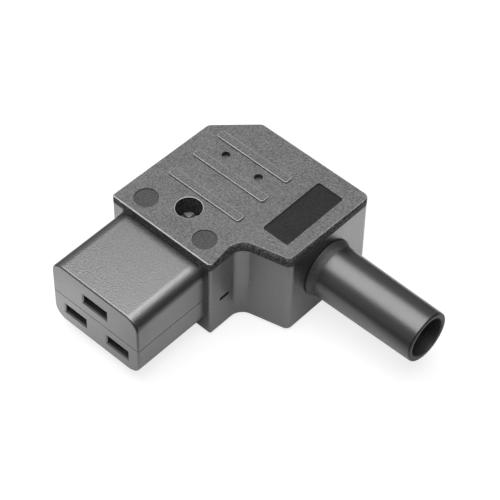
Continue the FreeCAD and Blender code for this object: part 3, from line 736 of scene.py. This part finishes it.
def add_group(nodes, group, values):
    """Places a node group with its values. Returns its outputs."""
    node = nodes.new("ShaderNodeGroup")
    node.node_tree = group
    for socket, value in values.items():
        node.inputs[socket].default_value = value
    return node.outputs


def add_noise(nodes, links, scale, detail, roughness):
    """A noise on the object's own coordinates, with its scale from a socket."""
    place = nodes.new("ShaderNodeTexCoord")
    noise = nodes.new("ShaderNodeTexNoise")
    noise.inputs["Detail"].default_value = detail
    noise.inputs["Roughness"].default_value = roughness
    links.new(place.outputs["Object"], noise.inputs["Vector"])
    links.new(scale, noise.inputs["Scale"])
    return noise.outputs["Fac"]


def axes_of(nodes, links, vector):
    """A vector's three numbers, as the outputs X, Y and Z."""
    parts = nodes.new("ShaderNodeSeparateXYZ")
    links.new(vector, parts.inputs["Vector"])
    return parts.outputs


def spread(nodes, links, value, old, new):
    """Maps a value from one range to another, and holds it there."""
    step = nodes.new("ShaderNodeMapRange")
    step.inputs["From Min"].default_value, step.inputs["From Max"].default_value = old
    step.inputs["To Min"].default_value, step.inputs["To Max"].default_value = new
    links.new(value, step.inputs["Value"])
    return step.outputs["Result"]


def calculate(nodes, links, operation, first, second, clamp=False):
    """Adds, subtracts or multiplies two sockets."""
    step = nodes.new("ShaderNodeMath")
    step.operation = operation
    step.use_clamp = clamp
    links.new(first, step.inputs[0])
    links.new(second, step.inputs[1])
    return step.outputs["Value"]


def blend(nodes, links, kind, share, first, second):
    """Blends two numbers or colours, the share being the second's. Each is a socket or a value."""
    step = nodes.new("ShaderNodeMix")
    step.data_type = kind
    for name, source in (("Factor", share), ("A", first), ("B", second)):
        if isinstance(source, bpy.types.NodeSocket):
            links.new(source, step.inputs[name])
        else:
            step.inputs[name].default_value = source
    return step.outputs["Result"]


def opaque(colour):
    return (*colour, 1)


def grey(level):
    return (level, level, level, 1)


def spark_texture_group():
    """Fine pitted moulding texture: a height for bumps, and a mask that is 1 in the pits."""
    group, entry, leave = new_group("Spark texture", ["Grain per metre"], ["Height", "Pits"])
    nodes, links = group.nodes, group.links
    grain = add_noise(nodes, links, entry.outputs["Grain per metre"], detail=3, roughness=0.65)
    links.new(grain, leave.inputs["Height"])
    links.new(spread(nodes, links, grain, (0.36, 0.64), (1, 0)), leave.inputs["Pits"])
    return group


def mottle_group():
    """Slow, faint variation over a moulding: 0 to 1."""
    group, entry, leave = new_group("Moulding mottle", ["Patches per metre"], ["Mottle"])
    nodes, links = group.nodes, group.links
    patches = add_noise(nodes, links, entry.outputs["Patches per metre"], detail=4, roughness=0.5)
    links.new(spread(nodes, links, patches, (0.3, 0.7), (0, 1)), leave.inputs["Mottle"])
    return group


def edge_highlight_group():
    """A mask that is 1 on the small roundings between an upright face and a level one, where a
    highlight is painted.
    """
    group, _, leave = new_group("Edge highlight", [], ["Edge"])
    nodes, links = group.nodes, group.links
    surface = nodes.new("ShaderNodeNewGeometry")
    slope = axes_of(nodes, links, surface.outputs["True Normal"])["Z"]
    not_upright = spread(nodes, links, slope, (0.35, 0.6), (0, 1))
    not_level = spread(nodes, links, slope, (0.985, 0.998), (1, 0))
    links.new(calculate(nodes, links, "MULTIPLY", not_upright, not_level), leave.inputs["Edge"])
    return group


def moulded_plastic(name, groups, dark, light, rough, grain, bump, gloss, pit_share, ior=1.5,
                    edge=None):
    """A moulded plastic: its pits are darker and rougher than its land.

    dark and light are the pits' and the land's colour, rough the least and the most roughness,
    grain the texture's grains to the metre, pit_share how much the pits count beside the mottle,
    and edge, for the small roundings, a paler colour painted in as a highlight and a smoother
    roughness.
    """
    material, nodes, links = new_material(name)
    shader = nodes["Principled BSDF"]
    shader.inputs["Specular IOR Level"].default_value = gloss
    shader.inputs["IOR"].default_value = ior
    spark = add_group(nodes, groups["spark"], {"Grain per metre": grain})
    mottle = add_group(nodes, groups["mottle"], {"Patches per metre": MOTTLE_PATCHES})
    wear = blend(nodes, links, "FLOAT", pit_share, mottle["Mottle"], spark["Pits"])
    colour = blend(nodes, links, "RGBA", wear, opaque(light), opaque(dark))
    roughness = spread(nodes, links, wear, (0, 1), rough)
    # the small roundings get a paler colour painted in as a highlight, and a smoother roughness
    if edge:
        edge_highlight_colour, edge_roughness = edge
        edge_highlight = add_group(nodes, groups["edge_highlight"], {})["Edge"]
        colour = blend(nodes, links, "RGBA", edge_highlight, colour, opaque(edge_highlight_colour))
        roughness = blend(nodes, links, "FLOAT", edge_highlight, roughness, edge_roughness)
    links.new(colour, shader.inputs["Base Color"])
    links.new(roughness, shader.inputs["Roughness"])
    relief = nodes.new("ShaderNodeBump")
    relief.inputs["Strength"].default_value = 1
    relief.inputs["Distance"].default_value = bump * BUMP_DEPTH
    links.new(spark["Height"], relief.inputs["Height"])
    links.new(relief.outputs["Normal"], shader.inputs["Normal"])
    return material


def worked_metal(name, groups, light, dark, rough, patches):
    """Bare metal with fine machining variation, rough being the least and the most roughness."""
    material, nodes, links = new_material(name)
    shader = nodes["Principled BSDF"]
    shader.inputs["Metallic"].default_value = 1
    mottle = add_group(nodes, groups["mottle"], {"Patches per metre": patches})["Mottle"]
    links.new(blend(nodes, links, "RGBA", mottle, opaque(light), opaque(dark)),
              shader.inputs["Base Color"])
    links.new(spread(nodes, links, mottle, (0, 1), rough), shader.inputs["Roughness"])
    return material


def give(piece, material):
    """Makes a material the piece's only one."""
    piece.data.materials.clear()
    piece.data.materials.append(material)
    for slot in piece.material_slots:
        slot.link = "DATA"


def give_faces(piece, material, wanted):
    """Gives the wanted faces of a piece another material."""
    piece.data.materials.append(material)
    piece.active_material_index = len(piece.data.materials) - 1
    edit(piece, "FACE")
    select_faces(piece, wanted)
    bpy.ops.object.material_slot_assign()
    close()


def is_cover_band(middle, normal):
    """The cover's upright sides, and the wide rounding along its right."""
    upright = abs(normal.z) < UPRIGHT
    rounding = abs(normal.z) < LEVEL and middle.x > FRONT_HALF_WIDTH - COVER_SIDE_EDGE
    return middle.z < TOP_Z - HAIR and (upright or rounding)


def floor_at_depth(depth):
    """Wants the faces of a recess floor that lies that deep in the cover."""
    return lambda middle, normal: near(middle.z, TOP_Z - depth) and normal.z > FACING


def is_dull_boot(middle, normal):
    """The boot's end face, its collar, its mouth and its bore, which get a duller finish and a
    paler colour painted in as light.
    """
    from_axis = hypot(middle.y - BOOT_Y, middle.z)
    return (normal.x > FACING or middle.x < RIGHT_X + DULL_COLLAR_LENGTH
            or from_axis < BOOT_MOUTH_RADIUS + DULL_MOUTH_MARGIN)


# Studio

def distance_from(nodes, links, place, point):
    """How far a place is from a point."""
    reach = nodes.new("ShaderNodeVectorMath")
    reach.operation = "DISTANCE"
    reach.inputs[1].default_value = point
    links.new(place, reach.inputs[0])
    return reach.outputs["Value"]


def make_floor():
    """A white floor: plain white as a background, with the part's soft shadow on it."""
    bpy.ops.object.select_all(action="DESELECT")
    bpy.ops.mesh.primitive_plane_add(size=FLOOR_SIZE, location=(0, 0, BOTTOM_Z * MM - FLOOR_DROP))
    bpy.ops.object.transform_apply(location=True, rotation=True, scale=True)
    floor = bpy.context.object
    floor.name = "floor"
    material, nodes, links = new_material("White floor")
    shader = nodes["Principled BSDF"]
    shader.inputs["Roughness"].default_value = FLOOR_ROUGHNESS
    shader.inputs["Specular IOR Level"].default_value = 0.0

    rays = nodes.new("ShaderNodeLightPath").outputs
    seen = rays["Is Camera Ray"]
    mirrored = calculate(nodes, links, "ADD", rays["Is Glossy Ray"], rays["Is Transmission Ray"],
                         clamp=True)

    # how far the floor is from the middle of the mating face, and from the bay
    place = nodes.new("ShaderNodeTexCoord").outputs["Object"]
    reach = distance_from(nodes, links, place, (0, 0, 0))
    bay = distance_from(nodes, links, place, BAY)

    # and how far it lies to the front right, where the room is dark
    axes = axes_of(nodes, links, place)
    rightwards = calculate(nodes, links, "SUBTRACT", axes["X"], axes["Y"])

    # gloss shows the lit floor around the part, and a dim room painted onto the floor farther off
    # and towards the front right
    far = calculate(nodes, links, "ADD", spread(nodes, links, bay, FAR_FROM_BAY, (0, 1)),
                    spread(nodes, links, rightwards, FAR_RIGHTWARDS, (0, 1)), clamp=True)
    dim = calculate(nodes, links, "MULTIPLY", mirrored, far)
    lit = blend(nodes, links, "RGBA", dim, grey(NEAR_GREY), grey(FAR_GREY))
    links.new(blend(nodes, links, "RGBA", seen, lit, grey(SEEN_GREY)), shader.inputs["Base Color"])

    # away from the lamp the floor keeps its white by itself
    white = spread(nodes, links, reach, OWN_LIGHT_REACH, OWN_LIGHT)
    own = calculate(nodes, links, "MULTIPLY", white, seen)

    # and in reflections only, the floor glows near the part as a painted bounce light, with
    # painted shade in the bay and less glow towards the front right
    bright = calculate(nodes, links, "MULTIPLY",
                       spread(nodes, links, rightwards, BOUNCE_RIGHTWARDS, BOUNCE),
                       spread(nodes, links, bay, SHADED_BAY, SHADED_BAY_SHARE))
    around = calculate(nodes, links, "MULTIPLY", bright,
                       spread(nodes, links, bay, BOUNCE_ENDS, (1, 0)))
    bounce = calculate(nodes, links, "MULTIPLY", around, mirrored)
    shader.inputs["Emission Color"].default_value = (1, 1, 1, 1)
    links.new(calculate(nodes, links, "ADD", own, bounce), shader.inputs["Emission Strength"])

    # seen from below, the floor lets the part's underside show
    surface = nodes.new("ShaderNodeNewGeometry")
    clear = nodes.new("ShaderNodeBsdfTransparent")
    both = nodes.new("ShaderNodeMixShader")
    links.new(surface.outputs["Backfacing"], both.inputs["Fac"])
    links.new(shader.outputs["BSDF"], both.inputs[1])
    links.new(clear.outputs["BSDF"], both.inputs[2])
    links.new(both.outputs["Shader"], nodes["Material Output"].inputs["Surface"])
    give(floor, material)
    floor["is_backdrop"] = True


def make_world():
    """A white backdrop behind the part, and a dim room, lighter on its left."""
    world = bpy.data.worlds.new("Studio")
    bpy.context.scene.world = world
    world.use_nodes = True
    nodes, links = world.node_tree.nodes, world.node_tree.links
    background = nodes["Background"]
    rays = nodes.new("ShaderNodeLightPath").outputs
    seen = calculate(nodes, links, "ADD", rays["Is Camera Ray"], rays["Is Transmission Ray"],
                     clamp=True)
    place = nodes.new("ShaderNodeTexCoord").outputs["Generated"]
    across = spread(nodes, links, axes_of(nodes, links, place)["X"], ROOM_PASSAGE, (0, 1))
    room = blend(nodes, links, "RGBA", across, grey(ROOM_LEFT_GREY), grey(ROOM_RIGHT_GREY))
    links.new(blend(nodes, links, "RGBA", seen, room, grey(1)), background.inputs["Color"])
    background.inputs["Strength"].default_value = 1


def make_lamp():
    """A large soft lamp overhead that looks at the middle of the part."""
    low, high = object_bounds()
    middle = (Vector(low) + Vector(high)) / 2
    aim = Vector(SOFTBOX_DIRECTION).normalized()
    bpy.ops.object.light_add(type="AREA", location=middle + aim * SOFTBOX_DISTANCE,
                             rotation=aim.to_track_quat("Z", "Y").to_euler())
    lamp = bpy.context.object
    lamp.name = "overhead_softbox"
    lamp.visible_camera = False
    lamp.data.shape = "RECTANGLE"
    lamp.data.size, lamp.data.size_y = SOFTBOX_SIZE
    lamp.data.energy = SOFTBOX_POWER


def make_camera():
    bpy.ops.object.camera_add(location=CAMERA_PLACE)
    camera = bpy.context.object
    camera.rotation_euler = Euler([radians(turn) for turn in CAMERA_TURN], "XYZ")
    camera.data.lens = CAMERA_LENS
    camera.data.sensor_width = CAMERA_SENSOR
    camera.data.clip_start = CAMERA_NEAREST
    bpy.context.scene.camera = camera
    bpy.context.scene.view_settings.view_transform = "Standard"


make_camera()
cover_plate = make_cover()
base_housing = make_base()
nose_upper, nose_lower = make_nose()
boot_sleeve = make_boot()

groups = {"spark": spark_texture_group(), "mottle": mottle_group(), "edge_highlight": edge_highlight_group()}
# the cover's small roundings get a pale grey painted in as a highlight, and a smoother finish
cover_finish = moulded_plastic(
    "Cover, spark-textured dark grey", groups,
    dark=(0.006, 0.006, 0.006), light=(0.12, 0.12, 0.122), rough=(0.32, 0.6),
    grain=2600, bump=3.0, gloss=1.0, pit_share=0.85, ior=1.6, edge=((0.45, 0.45, 0.45), 0.16))
# the cover's upright sides: a rougher, duller texture, and a darker colour painted in as shade
shaded_band_finish = moulded_plastic(
    "Cover band, coarse texture with painted shade", groups,
    dark=(0.004, 0.004, 0.004), light=(0.09, 0.09, 0.091), rough=(0.55, 0.75),
    grain=2300, bump=2.4, gloss=0.3, pit_share=0.9)
recess_finish = moulded_plastic(
    "Recess floors, finely textured", groups,
    dark=(0.02, 0.02, 0.021), light=(0.07, 0.07, 0.071), rough=(0.45, 0.65),
    grain=3200, bump=1.4, gloss=0.5, pit_share=0.85)
label_finish = moulded_plastic(
    "Label recess, smooth dark grey", groups,
    dark=(0.006, 0.006, 0.006), light=(0.024, 0.024, 0.024), rough=(0.4, 0.5),
    grain=2200, bump=0.8, gloss=0.2, pit_share=0.7)
base_finish = moulded_plastic(
    "Base, satin dark grey", groups,
    dark=(0.018, 0.018, 0.018), light=(0.03, 0.03, 0.031), rough=(0.26, 0.36),
    grain=900, bump=0.3, gloss=1.0, pit_share=0.4, ior=1.8)
nose_finish = moulded_plastic(
    "Nose, satin grey", groups,
    dark=(0.012, 0.012, 0.012), light=(0.035, 0.035, 0.036), rough=(0.28, 0.4),
    grain=2600, bump=1.0, gloss=1.0, pit_share=0.7, ior=1.97)
rubber_finish = moulded_plastic(
    "Boot, soft black", groups,
    dark=(0.012, 0.012, 0.012), light=(0.018, 0.018, 0.018), rough=(0.28, 0.34),
    grain=900, bump=0.2, gloss=0.88, pit_share=0.4, ior=1.68)
# the boot's bore, mouth, end face and collar: duller, with a paler colour than the rubber painted
# in as light in the mouth and bore
dull_boot_finish_painted_light = moulded_plastic(
    "Boot bore and collar, dull, paler as painted light", groups,
    dark=(0.025, 0.025, 0.025), light=(0.05, 0.05, 0.05), rough=(0.5, 0.6),
    grain=900, bump=0.3, gloss=0.7, pit_share=0.4)
brass_finish = worked_metal("Contact brass", groups, light=(0.78, 0.57, 0.25),
                            dark=(0.62, 0.42, 0.16), rough=(0.22, 0.4), patches=900)
steel_finish = worked_metal("Screw steel", groups, light=(0.5, 0.5, 0.5),
                            dark=(0.3, 0.3, 0.3), rough=(0.32, 0.5), patches=1500)

give(cover_plate, cover_finish)
# the upright sides get the darker colour that is painted in as shade
give_faces(cover_plate, shaded_band_finish, is_cover_band)
give_faces(cover_plate, recess_finish, floor_at_depth(ROUND_PANEL_DEPTH))
give_faces(cover_plate, label_finish, floor_at_depth(LABEL_DEPTH))
give(base_housing, base_finish)
give(nose_upper, nose_finish)
give(nose_lower, nose_finish)
give(boot_sleeve, rubber_finish)
# these faces get the duller finish and the paler colour painted in as light
give_faces(boot_sleeve, dull_boot_finish_painted_light, is_dull_boot)

finish_of_slot = {"cover_plastic": cover_finish, "base_plastic": base_finish,
                  "insert_plastic": nose_finish, "boot_rubber": rubber_finish,
                  "contact_brass": brass_finish, "screw_steel": steel_finish}
for entry in frame["record"]["subparts"]:
    give(frame["nodes"][entry["node"]], finish_of_slot[entry["material_slot"]])

make_floor()
make_world()
make_lamp()
